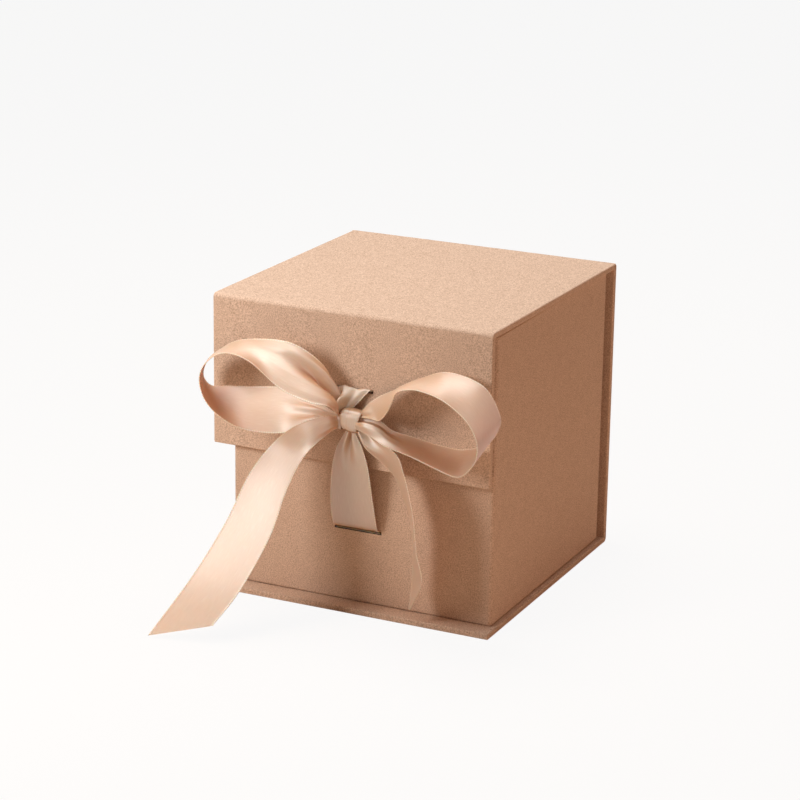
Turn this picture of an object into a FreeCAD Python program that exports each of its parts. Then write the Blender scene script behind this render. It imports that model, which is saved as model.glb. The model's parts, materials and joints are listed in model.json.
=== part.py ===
import FreeCAD, Part
import os

# Gift box of paper-wrapped board: a glued-in tray in a hinged case, tied with a ribbon bow
# X to the right, Y to the back, Z up; the origin is the centre of the footprint on the underside
# All lengths are in millimetres

# Whole box
box_width = 100.0
box_depth = 103.2
box_height = 101.0

# Sheet materials
board = 1.6
paper = 0.2
lining_paper = 0.15
stay_tape = 0.1
panel = board + 2 * paper
turn_in = 15.0
lining_margin = 3.0
hinge_gap = 0.4
fold_gap = 0.1

# Front flap, and how far out of square the lid was glued to the spine
flap_bottom = 50.0
flap_face = -49.1
lid_skew = -0.945
lid_shift = 0.25

# Tray
tray_left = -45.6
tray_right = 48.3
tray_front = -45.4
tray_back = 47.5
tray_top = 98.6
tray_corner = 1.5
rim_turn_in = 12.0
lining_drop = 2.0
stay_leg = 10.0

# Closing magnets, two in the flap and two in the front of the tray
magnet_radius = 5.0
magnet_thickness = 1.2
magnet_spacing = 62.0
magnet_height = 58.0

# Ribbon slits, and the ribbon ends glued behind them
slit_width = 17.0
slit_height = 1.2
flap_slit_height = 75.9
flap_slit_centre = 0.1
tray_slit_height = 27.1
tray_slit_centre = 0.45
ribbon_width = 16.0
tab_length = 18.0

# Bow
ribbon_thickness = 0.5
ribbon_steps = 3
knot_centre = (1.5, -53.6, 66.6)
knot_size = (6.4, 6.2, 6.4)
knot_round = 2.2

# Each ribbon is a list of places along it: a point of one edge and the point of the other
upper_ribbon = [
    ((-9.0, -49.7, 75.7), (6.8, -49.7, 76.1)),
    ((-6.5, -51.0, 73.4), (3.8, -51.2, 73.2)),
    ((-2.0, -52.4, 69.8), (0.8, -52.9, 69.4)),
]
lower_ribbon = [
    ((0.0, -53.5, 63.5), (3.0, -53.5, 63.5)),
    ((-3.7, -53.6, 56.5), (5.9, -53.6, 58.0)),
    ((-5.8, -52.4, 49.0), (7.2, -52.4, 51.5)),
    ((-7.0, -50.8, 41.0), (7.8, -50.8, 43.0)),
    ((-7.6, -49.4, 35.0), (8.2, -49.4, 36.0)),
    ((-7.7, -47.8, 30.0), (8.3, -47.8, 30.3)),
    ((-7.5, -46.0, 27.5), (8.5, -46.0, 27.5)),
]
left_loop = [
    ((-2.0, -56.0, 69.0), (-2.0, -53.0, 69.5)),
    ((-2.0, -62.5, 73.5), (-5.0, -52.5, 77.5)),
    ((-7.0, -66.0, 75.0), (-9.0, -55.0, 85.5)),
    ((-16.5, -67.5, 78.5), (-18.5, -58.5, 91.5)),
    ((-26.5, -70.0, 87.0), (-35.5, -57.0, 89.5)),
    ((-36.0, -69.0, 88.0), (-44.0, -56.0, 85.0)),
    ((-42.5, -68.5, 84.0), (-50.0, -54.5, 80.0)),
    ((-44.9, -69.0, 78.3), (-51.7, -54.5, 74.7)),
    ((-42.3, -70.0, 71.7), (-48.9, -54.0, 71.4)),
    ((-37.3, -67.8, 65.7), (-43.4, -52.8, 71.8)),
    ((-30.4, -64.4, 61.9), (-36.0, -51.4, 72.2)),
    ((-20.0, -60.4, 61.3), (-23.6, -51.0, 73.6)),
    ((-9.7, -59.6, 65.1), (-12.7, -52.6, 71.8)),
    ((-2.0, -55.5, 67.0), (-3.5, -53.0, 68.0)),
]
right_loop = [
    ((5.5, -55.0, 69.0), (4.5, -53.0, 69.4)),
    ((10.3, -57.3, 69.8), (6.8, -53.3, 72.4)),
    ((14.5, -59.4, 70.4), (8.8, -53.5, 74.3)),
    ((18.2, -61.5, 74.4), (11.8, -53.3, 76.5)),
    ((20.6, -63.2, 78.5), (14.0, -52.8, 77.7)),
    ((22.8, -64.8, 82.2), (16.0, -52.4, 78.7)),
    ((27.0, -65.9, 84.1), (18.5, -52.3, 80.4)),
    ((32.0, -66.7, 84.5), (24.5, -52.6, 83.6)),
    ((40.0, -68.0, 83.0), (35.0, -53.0, 87.5)),
    ((47.5, -68.0, 78.0), (47.5, -54.0, 85.0)),
    ((51.5, -68.5, 72.5), (53.0, -53.5, 76.5)),
    ((52.0, -68.5, 67.5), (52.5, -53.0, 71.5)),
    ((50.5, -68.5, 63.5), (48.5, -52.5, 66.0)),
    ((45.5, -67.5, 59.0), (41.0, -52.5, 63.0)),
    ((38.0, -66.5, 60.0), (33.0, -51.5, 62.5)),
    ((28.0, -64.5, 62.0), (22.5, -51.5, 64.0)),
    ((16.9, -60.5, 62.6), (15.8, -52.5, 65.4)),
    ((11.7, -58.5, 63.9), (11.3, -53.5, 68.4)),
    ((4.5, -56.0, 65.2), (4.5, -54.0, 68.5)),
]
left_tail = [
    ((-1.0, -56.0, 64.8), (-1.0, -56.2, 68.2)),
    ((-3.0, -58.8, 63.4), (-5.0, -60.5, 69.3)),
    ((-6.0, -63.2, 60.6), (-11.9, -63.8, 66.6)),
    ((-9.7, -66.5, 54.9), (-22.1, -60.0, 58.4)),
    ((-12.8, -70.5, 45.4), (-28.1, -66.0, 48.6)),
    ((-15.1, -77.0, 32.0), (-31.4, -76.5, 34.4)),
    ((-20.7, -86.5, 16.2), (-37.1, -88.0, 19.1)),
    ((-27.0, -93.0, 5.5), (-47.2, -99.2, 0.6)),
]
right_tail = [
    ((3.6, -55.2, 63.2), (4.6, -54.2, 64.4)),
    ((7.7, -54.5, 58.4), (12.4, -57.0, 63.3)),
    ((12.3, -53.0, 54.4), (21.8, -61.8, 60.8)),
    ((16.5, -52.0, 50.0), (25.3, -64.0, 55.7)),
    ((19.2, -51.5, 43.6), (27.6, -65.0, 49.8)),
    ((21.9, -51.0, 35.4), (29.3, -65.0, 41.8)),
    ((22.7, -50.5, 23.8), (30.2, -64.0, 30.0)),
    ((22.4, -50.5, 13.4), (31.2, -62.0, 19.7)),
    ((23.0, -53.5, 6.3), (23.8, -54.5, 6.7)),
]

# Worked out from the dimensions above
half_width = box_width / 2
base_front = -box_depth / 2
spine_back = box_depth / 2
spine_front = spine_back - panel
lid_under = box_height - panel
tray_inner_corner = tray_corner - paper


def box(x0, x1, y0, y1, z0, z1):
    return Part.makeBox(x1 - x0, y1 - y0, z1 - z0, FreeCAD.Vector(x0, y0, z0))


def rounded_box(x0, x1, y0, y1, z0, z1, radius):
    solid = box(x0, x1, y0, y1, z0, z1)
    upright = [e for e in solid.Edges if abs(e.tangentAt(e.FirstParameter).z) > 0.9]
    return solid.makeFillet(radius, upright)


def save(name, shape):
    shape.exportStep("parts/%s.step" % name)


# A case panel lies along +Y from its free end, with its outer face down at z = 0
def panel_board(length, free_end):
    start = paper if free_end else 0.0
    return box(-half_width + paper, half_width - paper, start, length, paper, paper + board)


# Its paper covers the outer face, turns round the edges and ends on the inner face
def panel_wrap(length, free_end):
    shell = box(-half_width, half_width, 0, length, 0, panel)
    start = turn_in if free_end else 0.0
    window = box(-half_width + turn_in, half_width - turn_in, start, length, paper + board, panel)
    return shell.cut(panel_board(length, free_end)).cut(window)


# Its lining lies over the turned-in paper and leaves a narrow margin of it
def panel_lining(length, free_end):
    start = lining_margin if free_end else 0.0
    reach = half_width - lining_margin
    return box(-reach, reach, start, length, panel, panel + lining_paper)


# A quarter round of paper round the outside of a case corner, centred on the panels' inner corner
def corner_paper(y, z, from_angle):
    outer = Part.makeCylinder(panel, box_width, FreeCAD.Vector(0, 0, 0), FreeCAD.Vector(0, 0, 1), 90)
    inner = Part.makeCylinder(panel - paper, box_width)
    strip = outer.cut(inner)
    strip.rotate(FreeCAD.Vector(0, 0, 0), FreeCAD.Vector(0, 0, 1), from_angle)
    strip.rotate(FreeCAD.Vector(0, 0, 0), FreeCAD.Vector(1, 1, 1), 120)
    strip.translate(FreeCAD.Vector(-half_width, y, z))
    return strip


# Turns a piece of the lid or flap with the whole lid, which sits a little out of square
def skewed(shape):
    turned = shape.copy()
    turned.rotate(FreeCAD.Vector(0, spine_back, 0), FreeCAD.Vector(0, 0, 1), lid_skew)
    turned.translate(FreeCAD.Vector(lid_shift, 0, 0))
    return turned


# The base: its free end is at the front, and it stops short of the round corner at the back
def make_base():
    length = spine_front - base_front
    board_part = panel_board(length - hinge_gap, True)
    wrap_part = panel_wrap(length, True)
    for shape in (board_part, wrap_part):
        shape.translate(FreeCAD.Vector(0, base_front, 0))
    save("base_board", board_part)
    save("base_wrap", wrap_part)
    save("base_hinge_paper", corner_paper(spine_front, panel, 270))


# The spine stands behind the tray, with its outer face to the back
def make_back():
    length = lid_under - panel
    board_part = panel_board(length - hinge_gap, False)
    wrap_part = panel_wrap(length, False)
    for shape in (board_part, wrap_part):
        shape.rotate(FreeCAD.Vector(0, 0, 0), FreeCAD.Vector(1, 0, 0), 90)
        shape.translate(FreeCAD.Vector(0, spine_back, panel))
    save("back_board", board_part)
    save("back_wrap", wrap_part)
    save("lid_hinge_paper", corner_paper(spine_front, lid_under, 0))


# The lid: outer face up, trimmed at the back to follow the hinge
def make_lid():
    front = flap_face + panel
    behind = box(-box_width, box_width, spine_front - fold_gap, box_depth, 0, 2 * box_height)
    length = spine_front - front + panel
    pieces = {
        "lid_board": panel_board(length, False),
        "lid_wrap": panel_wrap(length, False),
        "lid_lining": panel_lining(length, False),
    }
    for name, shape in pieces.items():
        shape.rotate(FreeCAD.Vector(0, 0, 0), FreeCAD.Vector(0, 1, 0), 180)
        shape.translate(FreeCAD.Vector(0, front, box_height))
        save(name, skewed(shape).cut(behind))
    save("flap_hinge_paper", skewed(corner_paper(front, lid_under, 90)))


# Round pockets and discs of the magnets, standing along Y from the given face
def magnets(y):
    discs = []
    for side in (-1, 1):
        place = FreeCAD.Vector(side * magnet_spacing / 2, y, magnet_height)
        discs.append(Part.makeCylinder(magnet_radius, magnet_thickness, place, FreeCAD.Vector(0, 1, 0)))
    return discs


# The flap: free end down, outer face to the front, with its slit and the two magnet pockets
def make_flap():
    length = lid_under - flap_bottom
    reach = slit_width / 2
    z0 = flap_slit_height - slit_height / 2
    z1 = flap_slit_height + slit_height / 2
    pieces = {
        "flap_board": panel_board(length - hinge_gap, True),
        "flap_wrap": panel_wrap(length - fold_gap, True),
        "flap_lining": panel_lining(length - hinge_gap, True),
    }
    for shape in pieces.values():
        shape.rotate(FreeCAD.Vector(0, 0, 0), FreeCAD.Vector(0, 0, 1), 180)
        shape.rotate(FreeCAD.Vector(0, 0, 0), FreeCAD.Vector(1, 0, 0), -90)
        shape.translate(FreeCAD.Vector(0, flap_face, flap_bottom))
    inner_face = flap_face + paper + board
    slit = box(flap_slit_centre - reach, flap_slit_centre + reach, flap_face - 1, inner_face, z0, z1)
    discs = magnets(inner_face - magnet_thickness)
    pieces["flap_board"] = pieces["flap_board"].cut(slit).cut(discs)
    pieces["flap_wrap"] = pieces["flap_wrap"].cut(slit)
    pieces["flap_ribbon_tab"] = ribbon_tab(flap_slit_centre, flap_slit_height, flap_face, inner_face, 1)
    pieces["flap_magnet_left"] = discs[0]
    pieces["flap_magnet_right"] = discs[1]
    for name, shape in pieces.items():
        save(name, skewed(shape))


# The end of a ribbon: in through the slit, then along the inner face of the board
def ribbon_tab(x, z, outer_face, inner_face, direction):
    left = x - ribbon_width / 2
    right = x + ribbon_width / 2
    through = box(left, right, outer_face, inner_face, z - paper / 2, z + paper / 2)
    far_z = z + direction * tab_length
    near_z = z - direction * paper / 2
    behind = box(left, right, inner_face, inner_face + paper, min(near_z, far_z), max(near_z, far_z))
    return through.fuse(behind).removeSplitter()


# The tray: five boards, taped at the corners, wrapped outside and lined inside
def make_tray():
    out = paper + stay_tape
    x0, x1 = tray_left + out, tray_right - out
    y0, y1 = tray_front + out, tray_back - out
    floor_z = panel + paper
    wall_z = floor_z + board
    rim_z = tray_top - paper
    core = rounded_box(x0, x1, y0, y1, floor_z, rim_z, tray_inner_corner - stay_tape)
    cavity = rounded_box(x0 - stay_tape, x1 + stay_tape, y0 - stay_tape, y1 + stay_tape,
                         floor_z, rim_z, tray_inner_corner)
    reach = slit_width / 2
    slit = box(tray_slit_centre - reach, tray_slit_centre + reach, tray_front - 1, y0 + board,
               tray_slit_height - slit_height / 2, tray_slit_height + slit_height / 2)
    discs = magnets(y0)

    save("tray_floor_board", core.common(box(x0, x1, y0, y1, floor_z, wall_z)))
    front = core.common(box(x0, x1, y0, y0 + board, wall_z, rim_z))
    save("tray_front_board", front.cut(slit).cut(discs))
    save("tray_back_board", core.common(box(x0, x1, y1 - board, y1, wall_z, rim_z)))
    save("tray_left_board", box(x0, x0 + board, y0 + board, y1 - board, wall_z, rim_z))
    save("tray_right_board", box(x1 - board, x1, y0 + board, y1 - board, wall_z, rim_z))
    save("tray_magnet_left", discs[0])
    save("tray_magnet_right", discs[1])

    tape = cavity.cut(core).common(box(x0 - 1, x1 + 1, y0 - 1, y1 + 1, wall_z, rim_z))
    for y_name, y_from, y_to in (("front", y0 - 1, y0 + stay_leg), ("back", y1 - stay_leg, y1 + 1)):
        for x_name, x_from, x_to in (("left", x0 - 1, x0 + stay_leg), ("right", x1 - stay_leg, x1 + 1)):
            corner = box(x_from, x_to, y_from, y_to, wall_z, rim_z)
            save("tray_corner_tape_%s_%s" % (y_name, x_name), tape.common(corner))

    outside = rounded_box(tray_left, tray_right, tray_front, tray_back, panel, tray_top, tray_corner)
    in_x0, in_x1 = x0 + board, x1 - board
    in_y0, in_y1 = y0 + board, y1 - board
    opening = box(in_x0 + paper, in_x1 - paper, in_y0 + paper, in_y1 - paper, wall_z, tray_top + 1)
    below_rim = box(in_x0, in_x1, in_y0, in_y1, wall_z, rim_z - rim_turn_in)
    underside = box(tray_left + rim_turn_in, tray_right - rim_turn_in, tray_front + rim_turn_in,
                    tray_back - rim_turn_in, 0, floor_z)
    rim_boards = cavity.cut(box(in_x0, in_x1, in_y0, in_y1, wall_z, tray_top))
    wrap = outside.cut(rim_boards).cut(opening).cut(below_rim).cut(underside).cut(slit)
    save("tray_wrap", wrap)

    lining = box(in_x0 + paper, in_x1 - paper, in_y0 + paper, in_y1 - paper,
                 wall_z + lining_paper, tray_top - lining_drop)
    hollow = box(in_x0 + paper + lining_paper, in_x1 - paper - lining_paper, in_y0 + paper + lining_paper,
                 in_y1 - paper - lining_paper, wall_z, tray_top)
    save("tray_wall_lining", lining.cut(hollow))
    save("tray_floor_lining", box(in_x0 + paper, in_x1 - paper, in_y0 + paper, in_y1 - paper,
                                  wall_z, wall_z + lining_paper))
    save("tray_ribbon_tab", ribbon_tab(tray_slit_centre, tray_slit_height, tray_front, in_y0, -1))


# A point on the smooth curve through the points p0 to p3, at the fraction t from p1 to p2
def between(p0, p1, p2, p3, t):
    bend = (p0 * 2 - p1 * 5 + p2 * 4 - p3) * t + (p1 * 3 - p0 - p2 * 3 + p3) * (t * t)
    return p1 + ((p2 - p0) + bend) * (t / 2)


# The places of a ribbon, with more of them worked out along smooth curves through the given ones
def smooth_places(places):
    rows = [[FreeCAD.Vector(*point) for point in edge] for edge in zip(*places)]
    curves = []
    for row in rows:
        ends = [row[0] * 2 - row[1]] + row + [row[-1] * 2 - row[-2]]
        curve = []
        for i in range(len(row) - 1):
            curve += [between(*ends[i:i + 4], k / ribbon_steps) for k in range(ribbon_steps)]
        curves.append(curve + [row[-1]])
    return list(zip(*curves))


# A ribbon is lofted through a thin rectangle at each place along it
def ribbon(places):
    edges = smooth_places(places)
    middles = [(a + b) * 0.5 for a, b in edges]
    sections = []
    for i, (a, b) in enumerate(edges):
        along = middles[min(i + 1, len(edges) - 1)] - middles[max(i - 1, 0)]
        normal = along.cross(b - a).normalize() * (ribbon_thickness / 2)
        sections.append(Part.makePolygon([a + normal, b + normal, b - normal, a - normal, a + normal]))
    return Part.makeLoft(sections, True, True)


def make_knot():
    low = [c - s / 2 for c, s in zip(knot_centre, knot_size)]
    high = [c + s / 2 for c, s in zip(knot_centre, knot_size)]
    block = box(low[0], high[0], low[1], high[1], low[2], high[2])
    return block.makeFillet(knot_round, block.Edges)


def make_bow():
    knot = make_knot()
    ribbons = {
        "upper_ribbon": upper_ribbon,
        "lower_ribbon": lower_ribbon,
        "bow_left_loop": left_loop,
        "bow_right_loop": right_loop,
        "bow_left_tail": left_tail,
        "bow_right_tail": right_tail,
    }
    save("bow_knot", knot)
    for name, places in ribbons.items():
        save(name, ribbon(places).cut(knot))


os.makedirs("parts", exist_ok=True)
make_base()
make_back()
make_lid()
make_flap()
make_tray()
make_bow()
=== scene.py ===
import json
import math

import bmesh
import bpy
import numpy as np
from mathutils import Matrix, Vector


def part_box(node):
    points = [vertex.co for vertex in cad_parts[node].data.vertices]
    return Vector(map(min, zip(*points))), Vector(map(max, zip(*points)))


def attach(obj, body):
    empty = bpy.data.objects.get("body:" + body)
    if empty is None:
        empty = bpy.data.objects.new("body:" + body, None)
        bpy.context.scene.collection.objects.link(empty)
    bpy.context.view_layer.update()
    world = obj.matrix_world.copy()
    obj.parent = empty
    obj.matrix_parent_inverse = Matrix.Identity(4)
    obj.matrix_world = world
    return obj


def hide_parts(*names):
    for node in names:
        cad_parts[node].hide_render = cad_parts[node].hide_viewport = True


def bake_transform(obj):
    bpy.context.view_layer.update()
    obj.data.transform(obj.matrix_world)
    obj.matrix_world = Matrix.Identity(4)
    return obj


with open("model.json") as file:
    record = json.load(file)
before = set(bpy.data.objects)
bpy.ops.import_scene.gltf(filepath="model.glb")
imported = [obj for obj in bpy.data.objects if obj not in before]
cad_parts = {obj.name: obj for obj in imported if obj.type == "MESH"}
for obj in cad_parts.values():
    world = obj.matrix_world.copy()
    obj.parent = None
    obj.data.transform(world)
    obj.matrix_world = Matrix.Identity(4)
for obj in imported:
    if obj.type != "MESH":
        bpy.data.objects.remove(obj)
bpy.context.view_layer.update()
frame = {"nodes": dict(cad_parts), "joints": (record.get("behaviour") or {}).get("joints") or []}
scene = bpy.context.scene
scene.view_settings.view_transform = "Standard"

# Camera
# The box is seen from the front, a little from the right and from above, through a long lens.
camera_place = (0.36198, -0.77830, 0.32609)
camera_yaw = 0.4423
camera_pitch = 0.3020
camera_roll = 0.0147
camera = bpy.data.objects.new("camera", bpy.data.cameras.new("camera"))
camera.data.sensor_width = 36
camera.data.lens = 120.24
camera.data.clip_start = 0.05
camera.data.clip_end = 20
camera.matrix_world = (
    Matrix.Translation(camera_place)
    @ Matrix.Rotation(camera_yaw, 4, "Z")
    @ Matrix.Rotation(math.pi / 2 - camera_pitch, 4, "X")
    @ Matrix.Rotation(camera_roll, 4, "Z")
)
scene.collection.objects.link(camera)
scene.camera = camera


# Boards
# The walls and panels are grey board, pressed from waste paper: coarse and fibrous where it is cut.
# They stay as the frame has them, and show in the ribbon slits and in the gaps at the hinges.
def add(tree, kind, **settings):
    node = tree.nodes.new(kind)
    for name, value in settings.items():
        setattr(node, name, value)
    return node


def feed(tree, socket, value):
    if isinstance(value, bpy.types.NodeSocket):
        tree.links.new(value, socket)
    else:
        socket.default_value = value


def maths(tree, operation, *values, clamp=False):
    node = add(tree, "ShaderNodeMath", operation=operation, use_clamp=clamp)
    for socket, value in zip(node.inputs, values):
        feed(tree, socket, value)
    return node.outputs[0]


def rise(tree, value, low, high):
    node = add(tree, "ShaderNodeMapRange", interpolation_type="SMOOTHSTEP")
    feed(tree, node.inputs["Value"], value)
    node.inputs["From Min"].default_value = low
    node.inputs["From Max"].default_value = high
    return node.outputs["Result"]


def cloudy(tree, place, size, detail=2.0):
    node = add(tree, "ShaderNodeTexNoise")
    feed(tree, node.inputs["Vector"], place)
    node.inputs["Scale"].default_value = 1.0 / size
    node.inputs["Detail"].default_value = detail
    return node.outputs["Fac"]


# Cloudy noise about zero
def uneven(tree, place, size, detail=2.0):
    return maths(tree, "SUBTRACT", cloudy(tree, place, size, detail), 0.5)


def effect(name, inputs, outputs):
    tree = bpy.data.node_groups.new(name, "ShaderNodeTree")
    for label, value in inputs.items():
        socket = tree.interface.new_socket(label, in_out="INPUT", socket_type="NodeSocketFloat")
        socket.default_value = value
    for label in outputs:
        tree.interface.new_socket(label, in_out="OUTPUT", socket_type="NodeSocketFloat")
    return tree, add(tree, "NodeGroupInput"), add(tree, "NodeGroupOutput")


# Pulp: fine speckle, soft clouds and short curled fibres, which lie in patches
def pulp_effect():
    speckle_size = 0.00036
    mottle_size = 0.0035
    fibre_size = 0.0019
    fibre_width = 0.012
    fibre_height = 0.4
    patch_size = 0.0060
    patch_edge = (0.45, 0.65)
    bare_level = 0.4
    tree, given, out = effect("pulp", {"Speckle": 1.0, "Mottle": 1.0, "Fibre": 0.2}, ("Tone", "Height"))
    place = add(tree, "ShaderNodeTexCoord").outputs["Object"]
    speckle = uneven(tree, place, speckle_size)
    mottle = uneven(tree, place, mottle_size, 4.0)
    line = maths(tree, "ABSOLUTE", uneven(tree, place, fibre_size, 3.0))
    fibre = maths(tree, "SUBTRACT", 1.0, rise(tree, line, 0.0, fibre_width))
    patch = rise(tree, cloudy(tree, place, patch_size, 1.0), *patch_edge)
    fibre = maths(tree, "MULTIPLY", fibre, maths(tree, "SUBTRACT", patch, bare_level))
    tone = maths(tree, "MULTIPLY_ADD", speckle, given.outputs["Speckle"], 0.5)
    tone = maths(tree, "MULTIPLY_ADD", mottle, given.outputs["Mottle"], tone)
    tone = maths(tree, "MULTIPLY_ADD", fibre, given.outputs["Fibre"], tone, clamp=True)
    tree.links.new(tone, out.inputs["Tone"])
    tree.links.new(maths(tree, "MULTIPLY_ADD", fibre, fibre_height, speckle), out.inputs["Height"])
    return tree


pulp = pulp_effect()


# The dark, middle and pale colours of a finish, in the order of its tone
def toned(tree, tone, colours):
    ramp = add(tree, "ShaderNodeValToRGB")
    stops = ramp.color_ramp.elements
    stops.new(0.5)
    for stop, place, colour in zip(stops, (0.15, 0.5, 0.85), colours):
        stop.position = place
        stop.color = (*colour, 1)
    tree.links.new(tone, ramp.inputs["Fac"])
    return ramp.outputs["Color"]


def give(node, values):
    for name, value in values.items():
        node.inputs[name].default_value = value


def relief(tree, height, depth, shader):
    bump = add(tree, "ShaderNodeBump")
    give(bump, {"Strength": 1.0, "Distance": depth})
    tree.links.new(height, bump.inputs["Height"])
    tree.links.new(bump.outputs["Normal"], shader.inputs["Normal"])


def new_material(name):
    material = bpy.data.materials.new(name)
    material.use_nodes = True
    return material, material.node_tree, material.node_tree.nodes["Principled BSDF"]


# A sheet of pressed fibre: its colours run from the dark flecks through the body to the pale fibres,
# and the pale fibres are the less dull ones
def pressed_fibre(name, colours, speckle, mottle, fibre, depth, roughness):
    roughness_span = 0.2
    material, tree, shader = new_material(name)
    grain = add(tree, "ShaderNodeGroup", node_tree=pulp)
    give(grain, {"Speckle": speckle, "Mottle": mottle, "Fibre": fibre})
    tone = grain.outputs["Tone"]
    tree.links.new(toned(tree, tone, colours), shader.inputs["Base Color"])
    relief(tree, grain.outputs["Height"], depth, shader)
    dullest = roughness + roughness_span / 2
    tree.links.new(maths(tree, "MULTIPLY_ADD", tone, -roughness_span, dullest), shader.inputs["Roughness"])
    give(shader, {"Specular IOR Level": 0.05})
    return material


def finish_nodes(material, name_part):
    for name, node in frame["nodes"].items():
        if name_part in name:
            node.data.materials.clear()
            node.data.materials.append(material)


board_colours = ((0.20, 0.17, 0.13), (0.42, 0.37, 0.30), (0.60, 0.55, 0.46))
greyboard = pressed_fibre("greyboard", board_colours, speckle=1.6, mottle=1.2, fibre=0.6,
                          depth=0.00008, roughness=0.9)
finish_nodes(greyboard, "_board")

# Base
# The bottom panel of the case, wrapped in kraft paper that turns over its edges, so the edges are
# a little round. The front turn-in is folded last, over the two sides, and its ends are cut slanting.
kraft_colours = ((0.52, 0.345, 0.245), (0.72, 0.51, 0.385), (0.88, 0.66, 0.52))
kraft = pressed_fibre("kraft_paper", kraft_colours, speckle=1.8, mottle=0.18, fibre=0.25,
                      depth=0.00003, roughness=0.85)
paper = 0.0002
fold_round = 0.00045
fold_steps = 3
arc_steps = 4
# A face narrower than sheet_edge is the paper's own edge. Only what turns more than fold_turn, in
# radians, is a fold.
sheet_edge = 0.001
fold_turn = 1.0


def mesh_piece(name, bm, material):
    mesh = bpy.data.meshes.new(name)
    bm.to_mesh(mesh)
    bm.free()
    made = bpy.data.objects.new(name, mesh)
    scene.collection.objects.link(made)
    mesh.materials.append(material)
    return made


# Smooth, but sharp where it turns more than the crease, in radians
def creased(bm, crease=0.6):
    for face in bm.faces:
        face.smooth = True
    for edge in bm.edges:
        edge.smooth = len(edge.link_faces) == 2 and edge.calc_face_angle(0) < crease


# A piece of kraft paper, with its flat faces kept flat up to their rounded edges
def paper_piece(name, bm, nodes, crease=0.6):
    creased(bm, crease)
    made = mesh_piece(name, bm, kraft)
    flat = made.modifiers.new("flat_faces", "WEIGHTED_NORMAL")
    flat.keep_sharp = True
    flat.weight = 100
    if nodes:
        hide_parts(*nodes)
    return made


# The wrap of a panel, with the folds over its edges rounded
def wrapped_panel(name, node):
    bm = bmesh.new()
    bm.from_mesh(frame["nodes"][node].data)
    bmesh.ops.remove_doubles(bm, verts=bm.verts, dist=2e-6)
    bmesh.ops.dissolve_limit(bm, angle_limit=0.02, verts=bm.verts, edges=bm.edges)
    folds = []
    for edge in bm.edges:
        wide = [2 * face.calc_area() > sheet_edge * face.calc_perimeter() for face in edge.link_faces]
        if len(wide) == 2 and all(wide) and edge.calc_face_angle_signed(0) > fold_turn:
            folds.append(edge)
    bmesh.ops.bevel(bm, geom=folds, offset=fold_round, offset_type="OFFSET", segments=fold_steps,
                    profile=0.5, affect="EDGES", clamp_overlap=True)
    return paper_piece(name, bm, [node])


# Points round a rounded fold, as (out, up) from the fold's corner, for a turn from out to up
def fold_arc(radius):
    turns = [math.pi / 2 * i / arc_steps for i in range(arc_steps + 1)]
    return [(radius * math.cos(t) - radius, radius * math.sin(t) - radius) for t in turns]


# Makes a surface as thick as the paper, inwards
def thickened(made):
    sheet = made.modifiers.new("sheet", "SOLIDIFY")
    sheet.thickness = paper
    sheet.offset = -1
    return made


base_low, base_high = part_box("base_wrap")
tray_low, tray_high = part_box("tray_wrap")
half = base_high.x
panel = base_high.z
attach(wrapped_panel("base_paper", "base_wrap"), "case")


# The front turn-in: up the front edge and over the top, ending under the tray
def front_turn_in():
    end_slant = 0.0012
    start = 0.0003
    front = base_low.y - paper / 2
    top = panel + paper / 2
    section = [(front, start, half - paper / 2)]
    for out, rise_up in fold_arc(fold_round):
        z = top + rise_up
        section.append((front - out, z, half - end_slant * (z - start) / (panel - start)))
    section.append((tray_low.y + paper / 2, top, half - end_slant))
    bm = bmesh.new()
    left, right = [[bm.verts.new((side * reach, y, z)) for y, z, reach in section] for side in (-1, 1)]
    for i in range(len(section) - 1):
        bm.faces.new((left[i], right[i], right[i + 1], left[i + 1]))
    return thickened(paper_piece("base_front_turn_in", bm, []))


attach(front_turn_in(), "case")

# Corner bends
# Between two panels of the case the paper bends freely over a gap in the board. Each bend is a soft
# corner, a little wavy where the edges of the two boards press from inside.
bend_rows = 60
bend_wave = 0.00006
bend_crease = 0.9
wave_turns = (2.3, 6.1, 14.7)
wave_places = (0.35, 0.65)
wave_reach = 0.12
end_shares = [0.0, 0.07, 0.25, 0.55, 1.0]
# Shares of the bend's reach, back along the panel that it leaves and on along the one that it joins
bend_section = [(1.0, 0.0), (0.80, 0.0), (0.62, 0.008), (0.50, 0.030), (0.38, 0.085), (0.28, 0.155),
                (0.20, 0.225), (0.155, 0.28), (0.085, 0.38), (0.030, 0.50), (0.008, 0.62), (0.0, 0.80),
                (0.0, 1.0), (0.0, 1.05)]
back = Vector((0, 1, 0))
up = Vector((0, 0, 1))


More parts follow.
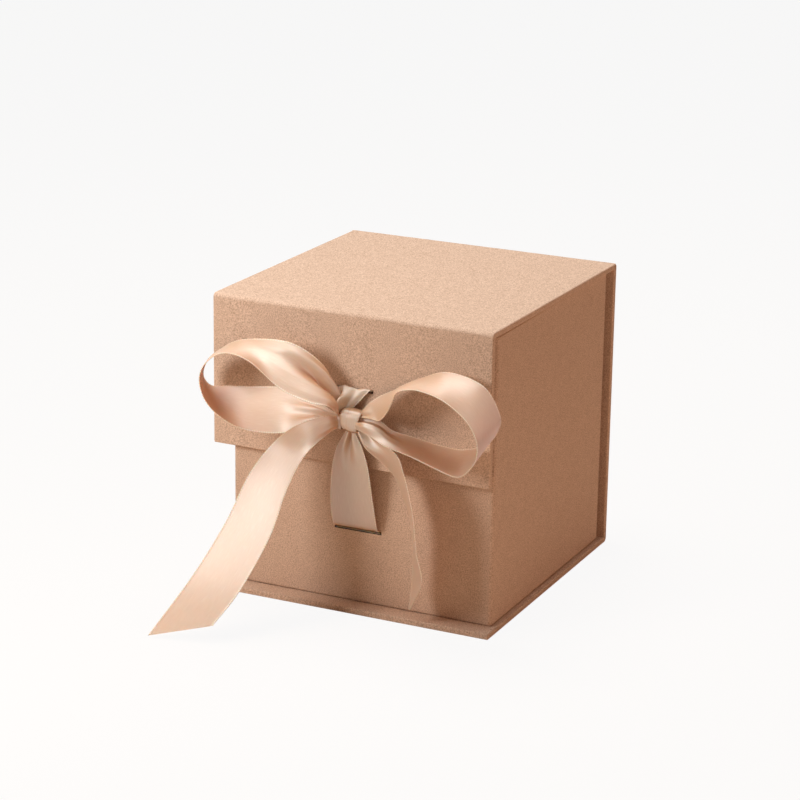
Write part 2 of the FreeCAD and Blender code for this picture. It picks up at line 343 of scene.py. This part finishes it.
# left and right are the ends of the outer corner line, first points back along the panel that the bend
# leaves, second on along the one that it joins, and depth is how far the bend fills the corner
def corner_bend(name, node, left, right, first, second, depth, seed):
    rng = np.random.default_rng(seed)
    phases = rng.uniform(0, 2 * math.pi, (len(wave_places), len(wave_turns)))
    span = (right - left).length
    rows = [fold_round / span * x for x in end_shares]
    rows += [rows[-1] + (1 - 2 * rows[-1]) * i / bend_rows for i in range(1, bend_rows)]
    rows += [1 - fold_round / span * x for x in end_shares[::-1]]
    fill = depth / panel
    bm = bmesh.new()
    rings = []
    for share in rows:
        corner = left.lerp(right, share)
        near_end = max(0.0, 1 - min(share, 1 - share) * span / fold_round)
        tuck = fold_round * (1 - math.sqrt(1 - near_end ** 2))
        waves = [sum(math.sin(2 * math.pi * share * turns + phase) / len(wave_turns)
                     for turns, phase in zip(wave_turns, row)) for row in phases]
        ring = []
        for i, (a, b) in enumerate(bend_section):
            inward = (first * b + second * a).normalized()
            place = i / (len(bend_section) - 1)
            swell = sum(wave * math.exp(-((place - middle) / wave_reach) ** 2)
                        for wave, middle in zip(waves, wave_places))
            wave_depth = bend_wave * (1 + swell) * math.sin(math.pi * place) ** 2
            point = corner + (first * a + second * b) * panel
            ring.append(point + inward * (wave_depth + tuck))
        for a, b in bend_section[::-1]:
            ring.append(corner + (first * (a + (1 - a) * fill) + second * (b + (1 - b) * fill)) * panel)
        rings.append([bm.verts.new(point) for point in ring])
    count = len(rings[0])
    for one, two in zip(rings, rings[1:]):
        for i in range(count):
            j = (i + 1) % count
            bm.faces.new((one[i], one[j], two[j], two[i]))
    bm.faces.new(rings[0])
    bm.faces.new(rings[-1])
    bmesh.ops.recalc_face_normals(bm, faces=bm.faces)
    return paper_piece(name, bm, [node], bend_crease)


spine_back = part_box("base_hinge_paper")[1].y
base_bend = corner_bend("base_bend", "base_hinge_paper", Vector((-half, spine_back, 0)),
                        Vector((half, spine_back, 0)), -back, up, depth=0.0018, seed=3)
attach(base_bend, "case")

# Spine
# The back panel of the case stands behind the tray, and the paper bends from its top into the lid.
# It is wrapped like the base.
box_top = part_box("lid_hinge_paper")[1].z
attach(wrapped_panel("spine_paper", "back_wrap"), "case")
lid_bend = corner_bend("lid_bend", "lid_hinge_paper", Vector((-half, spine_back, box_top)),
                       Vector((half, spine_back, box_top)), -up, -back, depth=0.0010, seed=5)
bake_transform(lid_bend)

# Tray
# A box of five boards, wrapped in the same kraft paper, which turns over the rim and under the
# floor. The wrap has a slit in the front, where the lower ribbon comes out.
wall = tray_high.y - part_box("tray_back_board")[0].y + paper
tab_low, tab_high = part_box("tray_ribbon_tab")
tray_corner = 0.0015
corner_steps = 6
rim_round = 0.00055
foot_round = 0.0009
turn_in = 0.012
slit_reach = 0.0085
slit_gape = 0.0012


# The tray's outline at a given inset, with two more points at the ends of the slit
def tray_loop(inset):
    slit_middle = (tab_low.x + tab_high.x) / 2
    points = []
    keep = max(tray_corner, inset)
    radius = keep - inset
    for x_side, y_side, start in ((-1, -1, 180), (1, -1, 270), (1, 1, 0), (-1, 1, 90)):
        x = tray_high.x - keep if x_side > 0 else tray_low.x + keep
        y = tray_high.y - keep if y_side > 0 else tray_low.y + keep
        for step in range(corner_steps + 1):
            angle = math.radians(start + 90 * step / corner_steps)
            points.append((x + radius * math.cos(angle), y + radius * math.sin(angle)))
        if start == 180:
            points += [(slit_middle + side * slit_reach, tray_low.y + inset) for side in (-1, 1)]
    return points


# The section runs from under the floor up the wall and over the rim, down inside
def tray_paper():
    top, bottom = tray_high.z, tray_low.z
    slit_top = tab_high.z + slit_gape / 2
    section = [(turn_in, bottom)]
    section += [(-out, bottom - rise_up) for out, rise_up in fold_arc(foot_round)[::-1]]
    slit_row = len(section)
    slit_column = corner_steps + 1
    section += [(0.0, slit_top - slit_gape), (0.0, slit_top)]
    section += [(-out, top + rise_up) for out, rise_up in fold_arc(rim_round)]
    section += [(wall + out, top + rise_up) for out, rise_up in fold_arc(rim_round)[::-1]]
    section += [(wall, top - turn_in)]
    bm = bmesh.new()
    loops = [[bm.verts.new((x, y, z)) for x, y in tray_loop(inset)] for inset, z in section]
    count = len(loops[0])
    for row, (one, two) in enumerate(zip(loops, loops[1:])):
        for i in range(count):
            if (row, i) != (slit_row, slit_column):
                j = (i + 1) % count
                bm.faces.new((one[i], one[j], two[j], two[i]))
    bmesh.ops.remove_doubles(bm, verts=bm.verts, dist=1e-6)
    bmesh.ops.dissolve_degenerate(bm, edges=bm.edges, dist=1e-6)
    bmesh.ops.recalc_face_normals(bm, faces=bm.faces)
    return thickened(paper_piece("tray_paper", bm, ["tray_wrap"]))


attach(tray_paper(), "case")

# Linings and corner tapes
# The tray, the lid and the flap are lined with a smoother kraft paper, and strips of gummed paper
# hold the tray's boards together at the corners.
lining_colours = ((0.50, 0.34, 0.245), (0.66, 0.475, 0.36), (0.76, 0.57, 0.45))
lining = pressed_fibre("lining_paper", lining_colours, speckle=0.6, mottle=0.5, fibre=0.2,
                       depth=0.00002, roughness=0.8)
finish_nodes(lining, "_lining")
tape_colours = ((0.60, 0.50, 0.37), (0.74, 0.64, 0.49), (0.84, 0.76, 0.62))
tape = pressed_fibre("corner_tape", tape_colours, speckle=0.5, mottle=0.6, fibre=0.3,
                     depth=0.00002, roughness=0.6)
finish_nodes(tape, "tape")


# Magnets
# Two nickel-plated discs sit in pockets in the flap's board and two in the tray's front board. Fine
# scratches change their tone and their shine.
def nickel():
    nickel_colours = ((0.50, 0.49, 0.47), (0.68, 0.67, 0.64), (0.78, 0.77, 0.75))
    scratch_size = 0.0004
    smoothest = 0.1
    scratch_roughness = 0.4
    material, tree, shader = new_material("nickel")
    place = add(tree, "ShaderNodeTexCoord").outputs["Object"]
    scratch = cloudy(tree, place, scratch_size, 4.0)
    tree.links.new(toned(tree, scratch, nickel_colours), shader.inputs["Base Color"])
    rough = maths(tree, "MULTIPLY_ADD", scratch, scratch_roughness, smoothest)
    tree.links.new(rough, shader.inputs["Roughness"])
    give(shader, {"Metallic": 1.0})
    return material


finish_nodes(nickel(), "magnet")

# Lid and flap
# The lid was glued to the spine a little out of square. Its front edge bends down into the flap,
# which covers the upper half of the tray's front and has the slit for the upper ribbon.
flap_joint = next(joint for joint in frame["joints"] if joint["name"] == "flap_hinge")
lid_right = -Vector(flap_joint["axis"])
lid_back = up.cross(lid_right)
flap_corner = Vector(flap_joint["pos_m"])
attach(wrapped_panel("lid_paper", "lid_wrap"), "lid")
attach(wrapped_panel("flap_paper", "flap_wrap"), "flap")
flap_bend = corner_bend("flap_bend", "flap_hinge_paper", flap_corner - lid_right * half,
                        flap_corner + lid_right * half, lid_back, -up, depth=0.0016, seed=11)
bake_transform(flap_bend)


# Ribbon
# Satin ribbon, 16 mm wide, with a close woven edge on both sides. One ribbon comes out of the flap
# and one out of the tray's front; each runs into the knot and out of it as a loop and a tail.
def satin_effect():
    streak_size = 0.012
    streak_stretch = 0.05
    edge_start = (0.466, 0.476)
    edge_height = 2.0
    beads_in_width = 20
    bead_contrast = 0.35
    tree, given, out = effect("satin", {"Streak": 1.0, "Edge": 1.0}, ("Tone", "Height", "Edge Mask"))
    # The map runs across the ribbon from 0 to 1 and along it in widths
    place = add(tree, "ShaderNodeUVMap", uv_map="ribbon").outputs["UV"]
    parts = add(tree, "ShaderNodeSeparateXYZ")
    tree.links.new(place, parts.inputs["Vector"])
    stretch = add(tree, "ShaderNodeMapping")
    give(stretch, {"Scale": (1.0, streak_stretch, 1.0)})
    tree.links.new(place, stretch.inputs["Vector"])
    streak = uneven(tree, stretch.outputs["Vector"], streak_size, 3.0)
    from_middle = maths(tree, "ABSOLUTE", maths(tree, "SUBTRACT", parts.outputs["X"], 0.5))
    edge = rise(tree, from_middle, *edge_start)
    turns = maths(tree, "MULTIPLY", parts.outputs["Y"], 2 * math.pi * beads_in_width)
    beads = maths(tree, "MULTIPLY_ADD", maths(tree, "SINE", turns), bead_contrast, 1 - bead_contrast)
    woven = maths(tree, "MULTIPLY", edge, beads)
    tone = maths(tree, "MULTIPLY_ADD", streak, given.outputs["Streak"], 0.5)
    tone = maths(tree, "MULTIPLY_ADD", woven, given.outputs["Edge"], tone, clamp=True)
    tree.links.new(tone, out.inputs["Tone"])
    tree.links.new(maths(tree, "MULTIPLY_ADD", woven, edge_height, streak), out.inputs["Height"])
    tree.links.new(edge, out.inputs["Edge Mask"])
    return tree


# Painted shade: the satin's colour is made darker and warmer where it turns away from the eye, as
# painted shade and dimmer sheen. Its threads stretch the shine one way. A little light comes through it.
def satin_material():
    satin_colours = ((0.60, 0.43, 0.295), (0.71, 0.515, 0.37), (0.92, 0.81, 0.69))
    painted_shade_colour = (0.80, 0.67, 0.53, 1)
    painted_shade_range = (0.08, 0.50)
    weave_depth = 0.00003
    satin_roughness = 0.49
    edge_dullness = 0.2
    material, tree, shader = new_material("satin_ribbon")
    weave = add(tree, "ShaderNodeGroup", node_tree=satin_effect())
    give(weave, {"Streak": 0.35, "Edge": 0.5})
    # Painted shade: the colour is multiplied towards a darker, warmer one where the surface turns away
    # from the eye
    facing = add(tree, "ShaderNodeLayerWeight").outputs["Facing"]
    painted_shade_mix = add(tree, "ShaderNodeMix", data_type="RGBA", blend_type="MULTIPLY")
    tree.links.new(rise(tree, facing, *painted_shade_range), painted_shade_mix.inputs["Factor"])
    # The colour sockets of this node are found by their number
    feed(tree, painted_shade_mix.inputs[6], toned(tree, weave.outputs["Tone"], satin_colours))
    feed(tree, painted_shade_mix.inputs[7], painted_shade_colour)
    tree.links.new(painted_shade_mix.outputs[2], shader.inputs["Base Color"])
    relief(tree, weave.outputs["Height"], weave_depth, shader)
    rough = maths(tree, "MULTIPLY_ADD", weave.outputs["Edge Mask"], edge_dullness, satin_roughness)
    tree.links.new(rough, shader.inputs["Roughness"])
    give(shader, {"IOR": 1.8, "Specular IOR Level": 1.0, "Anisotropic": 0.6, "Subsurface Weight": 0.6,
                  "Subsurface Radius": (0.0006, 0.00032, 0.0002), "Subsurface Scale": 1.0})
    tangent = add(tree, "ShaderNodeTangent", direction_type="UV_MAP", uv_map="ribbon")
    tree.links.new(tangent.outputs["Tangent"], shader.inputs["Tangent"])
    return material


satin = satin_material()
finish_nodes(satin, "ribbon_tab")
ribbon_width = 0.016
ribbon_thickness = 0.00016
edge_thickness = 0.00032
bead_place = 0.0002
bead_reach = 0.00016
satin_crease = 1.2
rows_between = 8
middle_columns = 40
# Share of a fold's height that is left at its start, where it is pressed flat
pressed_share = 0.4
# Shares of the width that have a line of points: close together at the two woven edges
edge_shares = [0.0, 0.004, 0.012, 0.022, 0.032]
middle_reach = 1 - 2 * edge_shares[-1]
middle_shares = [edge_shares[-1] + middle_reach * i / middle_columns for i in range(1, middle_columns)]
shares = np.array(edge_shares + middle_shares + [1 - x for x in edge_shares[::-1]])


# Points on a smooth curve through the given ones
def smooth_curve(points):
    given = [2 * points[0] - points[1], *points, 2 * points[-1] - points[-2]]
    curve = []
    for i in range(len(points) - 1):
        p0, p1, p2, p3 = given[i:i + 4]
        for k in range(rows_between):
            t = k / rows_between
            bend = (p0 * 2 - p1 * 5 + p2 * 4 - p3) * t + (p1 * 3 - p0 - p2 * 3 + p3) * (t * t)
            curve.append(p1 + (p2 - p0 + bend) * (t / 2))
    return np.array(curve + [points[-1]])


def unit(vectors):
    return vectors / np.maximum(np.linalg.norm(vectors, axis=-1, keepdims=True), 1e-12)


def eased(t):
    t = np.clip(t, 0, 1)
    return t * t * (3 - 2 * t)


# The height of the folds across the ribbon, through listed (share, height) points
def fold_line(points):
    at, height = np.array(points).T
    step = np.clip(np.searchsorted(at, shares, side="right") - 1, 0, len(at) - 2)
    t = (shares - at[step]) / (at[step + 1] - at[step])
    return height[step] + (height[step + 1] - height[step]) * eased(t)


# A strip of ribbon through places, each a point of one edge and the point of the other.
# folds are (share along it, how soon they rise, how far they reach, line across it).
def strip(name, places, folds):
    one = smooth_curve([np.array(place[0]) for place in places])
    two = smooth_curve([np.array(place[1]) for place in places])
    middle = (one + two) / 2
    run = np.concatenate([[0], np.cumsum(np.linalg.norm(np.diff(middle, axis=0), axis=1))])
    normal = unit(np.cross(np.gradient(middle, axis=0), two - one))
    heights = np.zeros((len(run), len(shares)))
    for place, soon, reach, line in folds:
        distance = np.abs(run - place * run[-1])
        strength = eased(1 - distance / reach)
        if soon:
            strength *= pressed_share + (1 - pressed_share) * eased(distance / soon)
        heights += strength[:, None] * fold_line(line)[None, :]
    cloth = one[:, None] + (two - one)[:, None] * shares[None, :, None]
    cloth = cloth + normal[:, None] * heights[..., None]
    facing = unit(np.cross(np.gradient(cloth, axis=0), np.gradient(cloth, axis=1)))
    from_edge = np.minimum(shares, 1 - shares) * ribbon_width
    bead = np.exp(-((from_edge - bead_place) / bead_reach) ** 2)
    thick = ribbon_thickness + (edge_thickness - ribbon_thickness) * bead
    half_sheet = facing * thick[None, :, None] / 2
    bm = bmesh.new()
    layer = bm.loops.layers.uv.new("ribbon")
    top, under = [[[bm.verts.new(point) for point in row] for row in grid]
                  for grid in (cloth + half_sheet, cloth - half_sheet)]
    map_places = {}
    for grid in (top, under):
        for row, along in zip(grid, run):
            for vert, across in zip(row, shares):
                map_places[vert] = (across, along / ribbon_width)
    rows, columns = heights.shape
    for i in range(rows - 1):
        for j in range(columns - 1):
            bm.faces.new((top[i][j], top[i + 1][j], top[i + 1][j + 1], top[i][j + 1]))
            bm.faces.new((under[i][j], under[i][j + 1], under[i + 1][j + 1], under[i + 1][j]))
        for j in (0, columns - 1):
            bm.faces.new((top[i][j], under[i][j], under[i + 1][j], top[i + 1][j]))
    for i in (0, rows - 1):
        for j in range(columns - 1):
            bm.faces.new((top[i][j], top[i][j + 1], under[i][j + 1], under[i][j]))
    bmesh.ops.recalc_face_normals(bm, faces=bm.faces)
    for face in bm.faces:
        for loop in face.loops:
            loop[layer].uv = map_places[loop.vert]
    creased(bm, satin_crease)
    made = mesh_piece(name, bm, satin)
    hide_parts(name.replace("_satin", ""))
    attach(made, "flap")


# Knot
# Both ribbons cross in the knot: one is drawn tight round the other as a short barrel, and the edge
# of the other shows beside it as a slim roll.
knot_low, knot_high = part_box("bow_knot")
knot_middle = (knot_low + knot_high) / 2
barrel = [(-0.80, 0.62), (-0.97, 0.70), (-1.0, 0.82), (-0.93, 0.90), (-0.72, 0.96), (-0.45, 0.985),
          (-0.30, 0.965), (-0.12, 0.995), (0.25, 1.0), (0.62, 0.975), (0.88, 0.93), (1.0, 0.86),
          (0.98, 0.74), (0.82, 0.62)]
slim_roll = [(-0.5, 0.70), (-0.95, 0.80), (-0.95, 0.92), (-0.4, 1.0), (0.4, 1.0), (0.95, 0.92),
             (0.95, 0.80), (0.5, 0.70)]
wrap_columns = 72
squareness = 0.75
pinch_depth = 0.05
pinch_angle = 2.2
flare = 0.10
# Shares of the ribbon's width where a wrap's map starts and that it covers, and its length in widths
map_start = 0.1
map_reach = 0.8
map_length = 1.3


# Makes a round section squarer
def squared(value):
    return math.copysign(abs(value) ** squareness, value)


# A wrap of ribbon drawn tight round the others. profile is its (across, radius) outline as shares of
# half its width and of its depth and height; it goes round the X axis, then tilts.
def wrap_round(name, middle, half_width, depth, height, profile, tilt):
    bm = bmesh.new()
    layer = bm.loops.layers.uv.new("ribbon")
    turn = Matrix.Rotation(tilt, 3, "Y")
    rings = []
    for across, radius in smooth_curve([np.array(point) for point in profile]):
        ring = []
        for i in range(wrap_columns):
            angle = 2 * math.pi * i / wrap_columns
            pinch = 1 + pinch_depth * math.cos(2 * angle + pinch_angle) * across
            x = half_width * across * (1 + flare * math.sin(angle))
            y = depth * radius * pinch * squared(math.cos(angle))
            z = height * radius * pinch * squared(math.sin(angle))
            ring.append(bm.verts.new(middle + turn @ Vector((x, -y, z))))
        rings.append(ring)
    for j in range(len(rings) - 1):
        for i in range(wrap_columns):
            k = (i + 1) % wrap_columns
            face = bm.faces.new((rings[j][i], rings[j][k], rings[j + 1][k], rings[j + 1][i]))
            for loop, (a, b) in zip(face.loops, ((j, i), (j, i + 1), (j + 1, i + 1), (j + 1, i))):
                share = map_start + map_reach * a / (len(rings) - 1)
                loop[layer].uv = (share, map_length * b / wrap_columns)
    bm.faces.new(rings[0])
    bm.faces.new(rings[-1])
    bmesh.ops.recalc_face_normals(bm, faces=bm.faces)
    creased(bm, satin_crease)
    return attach(mesh_piece(name, bm, satin), "flap")


knot_wrap = wrap_round("knot_wrap", knot_middle + Vector((0.0006, 0, 0.0006)), half_width=0.0031,
                       depth=0.0030, height=0.0037, profile=barrel, tilt=0.10)
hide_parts("bow_knot")
wrap_round("knot_second_wrap", knot_middle + Vector((-0.0032, 0.0004, -0.0004)), half_width=0.0008,
           depth=0.0027, height=0.0027, profile=slim_roll, tilt=0.12)

# Bow
# The two loops stand out from the knot, and the two tails hang in front of the tray. The upper ribbon
# comes out of the flap's slit and the lower one out of the tray's, and both gather at the knot.
left_loop = [
    ((-0.0020, -0.0560, 0.0690), (-0.0020, -0.0530, 0.0695)),
    ((-0.0020, -0.0625, 0.0735), (-0.0050, -0.0525, 0.0775)),
    ((-0.0070, -0.0660, 0.0750), (-0.0090, -0.0550, 0.0855)),
    ((-0.0165, -0.0675, 0.0785), (-0.0185, -0.0585, 0.0915)),
    ((-0.0265, -0.0700, 0.0870), (-0.0355, -0.0570, 0.0895)),
    ((-0.0360, -0.0690, 0.0880), (-0.0440, -0.0560, 0.0850)),
    ((-0.0425, -0.0685, 0.0840), (-0.0500, -0.0545, 0.0800)),
    ((-0.0449, -0.0690, 0.0783), (-0.0517, -0.0545, 0.0747)),
    ((-0.0423, -0.0700, 0.0717), (-0.0489, -0.0540, 0.0714)),
    ((-0.0373, -0.0678, 0.0657), (-0.0434, -0.0528, 0.0718)),
    ((-0.0304, -0.0644, 0.0619), (-0.0360, -0.0514, 0.0722)),
    ((-0.0200, -0.0604, 0.0613), (-0.0236, -0.0510, 0.0736)),
    ((-0.0097, -0.0596, 0.0651), (-0.0127, -0.0526, 0.0718)),
    ((-0.0020, -0.0555, 0.0670), (-0.0035, -0.0530, 0.0680)),
]
right_loop = [
    ((0.0055, -0.0550, 0.0690), (0.0045, -0.0530, 0.0694)),
    ((0.0103, -0.0573, 0.0698), (0.0068, -0.0533, 0.0724)),
    ((0.0145, -0.0594, 0.0704), (0.0088, -0.0535, 0.0743)),
    ((0.0182, -0.0615, 0.0744), (0.0118, -0.0533, 0.0765)),
    ((0.0206, -0.0632, 0.0785), (0.0140, -0.0528, 0.0777)),
    ((0.0228, -0.0648, 0.0822), (0.0160, -0.0524, 0.0787)),
    ((0.0270, -0.0659, 0.0841), (0.0185, -0.0523, 0.0804)),
    ((0.0320, -0.0667, 0.0845), (0.0245, -0.0526, 0.0836)),
    ((0.0400, -0.0680, 0.0830), (0.0350, -0.0530, 0.0875)),
    ((0.0475, -0.0680, 0.0780), (0.0475, -0.0540, 0.0850)),
    ((0.0515, -0.0685, 0.0725), (0.0530, -0.0535, 0.0765)),
    ((0.0520, -0.0685, 0.0675), (0.0525, -0.0530, 0.0715)),
    ((0.0505, -0.0685, 0.0635), (0.0485, -0.0525, 0.0660)),
    ((0.0455, -0.0675, 0.0590), (0.0410, -0.0525, 0.0630)),
    ((0.0380, -0.0665, 0.0600), (0.0330, -0.0515, 0.0625)),
    ((0.0280, -0.0645, 0.0620), (0.0225, -0.0515, 0.0640)),
    ((0.0169, -0.0605, 0.0626), (0.0158, -0.0525, 0.0654)),
    ((0.0117, -0.0585, 0.0639), (0.0113, -0.0535, 0.0684)),
    ((0.0045, -0.0560, 0.0652), (0.0045, -0.0540, 0.0685)),
]
left_tail = [
    ((-0.0019, -0.0558, 0.0645), (-0.0021, -0.0562, 0.0686)),
    ((-0.0030, -0.0588, 0.0634), (-0.0050, -0.0605, 0.0693)),
    ((-0.0060, -0.0632, 0.0606), (-0.0119, -0.0638, 0.0666)),
    ((-0.0097, -0.0665, 0.0549), (-0.0221, -0.0600, 0.0584)),
    ((-0.0128, -0.0705, 0.0454), (-0.0281, -0.0660, 0.0486)),
    ((-0.0151, -0.0770, 0.0320), (-0.0314, -0.0765, 0.0344)),
    ((-0.0207, -0.0865, 0.0162), (-0.0371, -0.0880, 0.0191)),
    ((-0.0270, -0.0930, 0.0055), (-0.0472, -0.0992, 0.0006)),
]
right_tail = [
    ((0.0049, -0.0555, 0.0636), (0.0061, -0.0550, 0.0657)),
    ((0.0077, -0.0545, 0.0584), (0.0124, -0.0570, 0.0633)),
    ((0.0123, -0.0530, 0.0544), (0.0218, -0.0618, 0.0608)),
    ((0.0165, -0.0520, 0.0500), (0.0253, -0.0640, 0.0557)),
    ((0.0192, -0.0515, 0.0436), (0.0276, -0.0650, 0.0498)),
    ((0.0219, -0.0510, 0.0354), (0.0293, -0.0650, 0.0418)),
    ((0.0227, -0.0505, 0.0238), (0.0302, -0.0640, 0.0300)),
    ((0.0224, -0.0505, 0.0134), (0.0312, -0.0620, 0.0197)),
    ((0.0230, -0.0535, 0.0063), (0.0238, -0.0545, 0.0067)),
]
lower_ribbon = [
    ((0.0002, -0.0545, 0.0636), (0.0038, -0.0545, 0.0632)),
    ((-0.0037, -0.0536, 0.0565), (0.0059, -0.0536, 0.0580)),
    ((-0.0058, -0.0524, 0.0490), (0.0072, -0.0524, 0.0515)),
    ((-0.0070, -0.0508, 0.0410), (0.0078, -0.0508, 0.0430)),
    ((-0.0076, -0.0494, 0.0350), (0.0082, -0.0494, 0.0360)),
    ((-0.0077, -0.0478, 0.0300), (0.0083, -0.0478, 0.0303)),
    ((-0.0077, -0.0465, 0.0281), (0.0083, -0.0465, 0.0282)),
    ((-0.0077, -0.0445, 0.0276), (0.0083, -0.0445, 0.0276)),
]
upper_ribbon = [
    ((-0.0093, -0.0467, 0.0760), (0.0068, -0.0467, 0.0760)),
    ((-0.0093, -0.0488, 0.0760), (0.0068, -0.0489, 0.0760)),
    ((-0.0092, -0.0496, 0.0766), (0.0068, -0.0498, 0.0767)),
    ((-0.0086, -0.0503, 0.0762), (0.0065, -0.0504, 0.0765)),
    ((-0.0060, -0.0512, 0.0732), (0.0039, -0.0512, 0.0737)),
    ((-0.0035, -0.0530, 0.0689), (0.0000, -0.0532, 0.0692)),
]
strip("bow_left_loop_satin", left_loop, [
    (0.0, 0.006, 0.034,
     [(0, 0), (0.2, -0.0012), (0.38, -0.0010), (0.68, 0.0040), (0.82, -0.0018), (1, 0)]),
    (1.0, 0.006, 0.022,
     [(0, 0), (0.22, 0.0014), (0.45, -0.0012), (0.62, 0.0012), (0.80, -0.0008), (1, 0)]),
])
strip("bow_right_loop_satin", right_loop, [
    (0.0, 0.003, 0.007, [(0, 0), (0.3, -0.0006), (0.65, 0.0006), (1, 0)]),
    (1.0, 0.005, 0.022,
     [(0, 0), (0.30, -0.0030), (0.45, -0.0034), (0.62, -0.0008), (0.8, 0.0004), (1, 0)]),
])
strip("bow_left_tail_satin", left_tail, [
    (0.0, 0.004, 0.016, [(0, 0.0010), (0.3, -0.0006), (0.6, -0.0010), (1, 0)]),
])
strip("bow_right_tail_satin", right_tail, [
    (0.0, 0.004, 0.016, [(0, 0), (0.35, 0.0016), (0.7, -0.0008), (1, 0)]),
])
strip("lower_ribbon_satin", lower_ribbon, [
    (0.0, 0.003, 0.016, [(0, 0), (0.3, 0.0010), (0.48, -0.0018), (0.72, 0.0010), (1, 0)]),
])
strip("upper_ribbon_satin", upper_ribbon, [
    (0.30, 0.0, 0.004,
     [(0, 0), (0.12, 0.0003), (0.25, -0.0003), (0.42, 0.0004), (0.55, 0), (0.7, -0.0003),
      (0.85, 0.0002), (1, 0)]),
    (0.74, 0.0, 0.006, [(0, 0), (0.28, -0.0008), (0.44, 0.0036), (0.70, 0.0004), (1, -0.0006)]),
    (1.0, 0.002, 0.009, [(0, 0), (0.25, -0.0004), (0.5, 0.0026), (0.75, 0.0004), (1, 0)]),
])

# Floor, lights and background
# A pale floor and soft lamps, as in a small studio. The floor throws warm light up at the box, but
# the camera sees it nearly white.
floor_reach = 3.0
floor_sides = [(-1, -1), (1, -1), (1, 1), (-1, 1)]
floor_corners = [(x * floor_reach, y * floor_reach, 0) for x, y in floor_sides]
floor_mesh = bpy.data.meshes.new("floor")
floor_mesh.from_pydata(floor_corners, [], [(0, 1, 2, 3)])
floor = bpy.data.objects.new("floor", floor_mesh)
scene.collection.objects.link(floor)


# Shows white to the camera, and to a shiny or clear surface, and the shader to all other light
def show_white(tree, shader, white, share, output):
    path = add(tree, "ShaderNodeLightPath").outputs
    shiny = maths(tree, "MAXIMUM", path["Is Glossy Ray"], path["Is Transmission Ray"])
    seen = maths(tree, "MAXIMUM", path["Is Camera Ray"], shiny)
    mix = add(tree, "ShaderNodeMixShader")
    tree.links.new(maths(tree, "MULTIPLY", seen, share), mix.inputs["Fac"])
    tree.links.new(shader, mix.inputs[1])
    tree.links.new(white, mix.inputs[2])
    tree.links.new(mix.outputs["Shader"], output.inputs["Surface"])


def floor_finish():
    floor_colour = (0.78, 0.61, 0.47, 1)
    white_share = 0.92
    material, tree, shader = new_material("floor")
    give(shader, {"Base Color": floor_colour, "Roughness": 0.9})
    white = add(tree, "ShaderNodeEmission")
    give(white, {"Strength": 1.0})
    show_white(tree, shader.outputs["BSDF"], white.outputs["Emission"], white_share,
               tree.nodes["Material Output"])
    return material


floor_mesh.materials.append(floor_finish())


def lamp(name, place, aim, size, power, colour):
    data = bpy.data.lights.new(name, "AREA")
    data.shape = "SQUARE"
    data.size = size
    data.energy = power
    data.color = colour
    made = bpy.data.objects.new(name, data)
    made.location = place
    made.rotation_euler = (Vector(aim) - Vector(place)).to_track_quat("-Z", "Y").to_euler()
    scene.collection.objects.link(made)


lamp("key_lamp", (-0.135, -0.225, 0.17), aim=(0.0, -0.04, 0.06), size=0.09, power=0.33,
     colour=(1.0, 0.97, 0.93))
lamp("top_lamp", (-0.10, 0.05, 0.70), aim=(0.0, 0.0, 0.10), size=0.40, power=4.1,
     colour=(1.0, 0.98, 0.94))
lamp("side_lamp", (0.90, -0.25, 0.35), aim=(0.0, 0.0, 0.05), size=0.40, power=1.73,
     colour=(1.0, 0.58, 0.39))


def surroundings():
    room_colour = (1.0, 0.72, 0.50, 1)
    room_strength = 0.02
    world = bpy.data.worlds.new("studio")
    scene.world = world
    world.use_nodes = True
    tree = world.node_tree
    room = tree.nodes["Background"]
    give(room, {"Color": room_colour, "Strength": room_strength})
    white = add(tree, "ShaderNodeBackground")
    give(white, {"Color": (1.0, 1.0, 1.0, 1)})
    show_white(tree, room.outputs["Background"], white.outputs["Background"], 1.0,
               tree.nodes["World Output"])


surroundings()
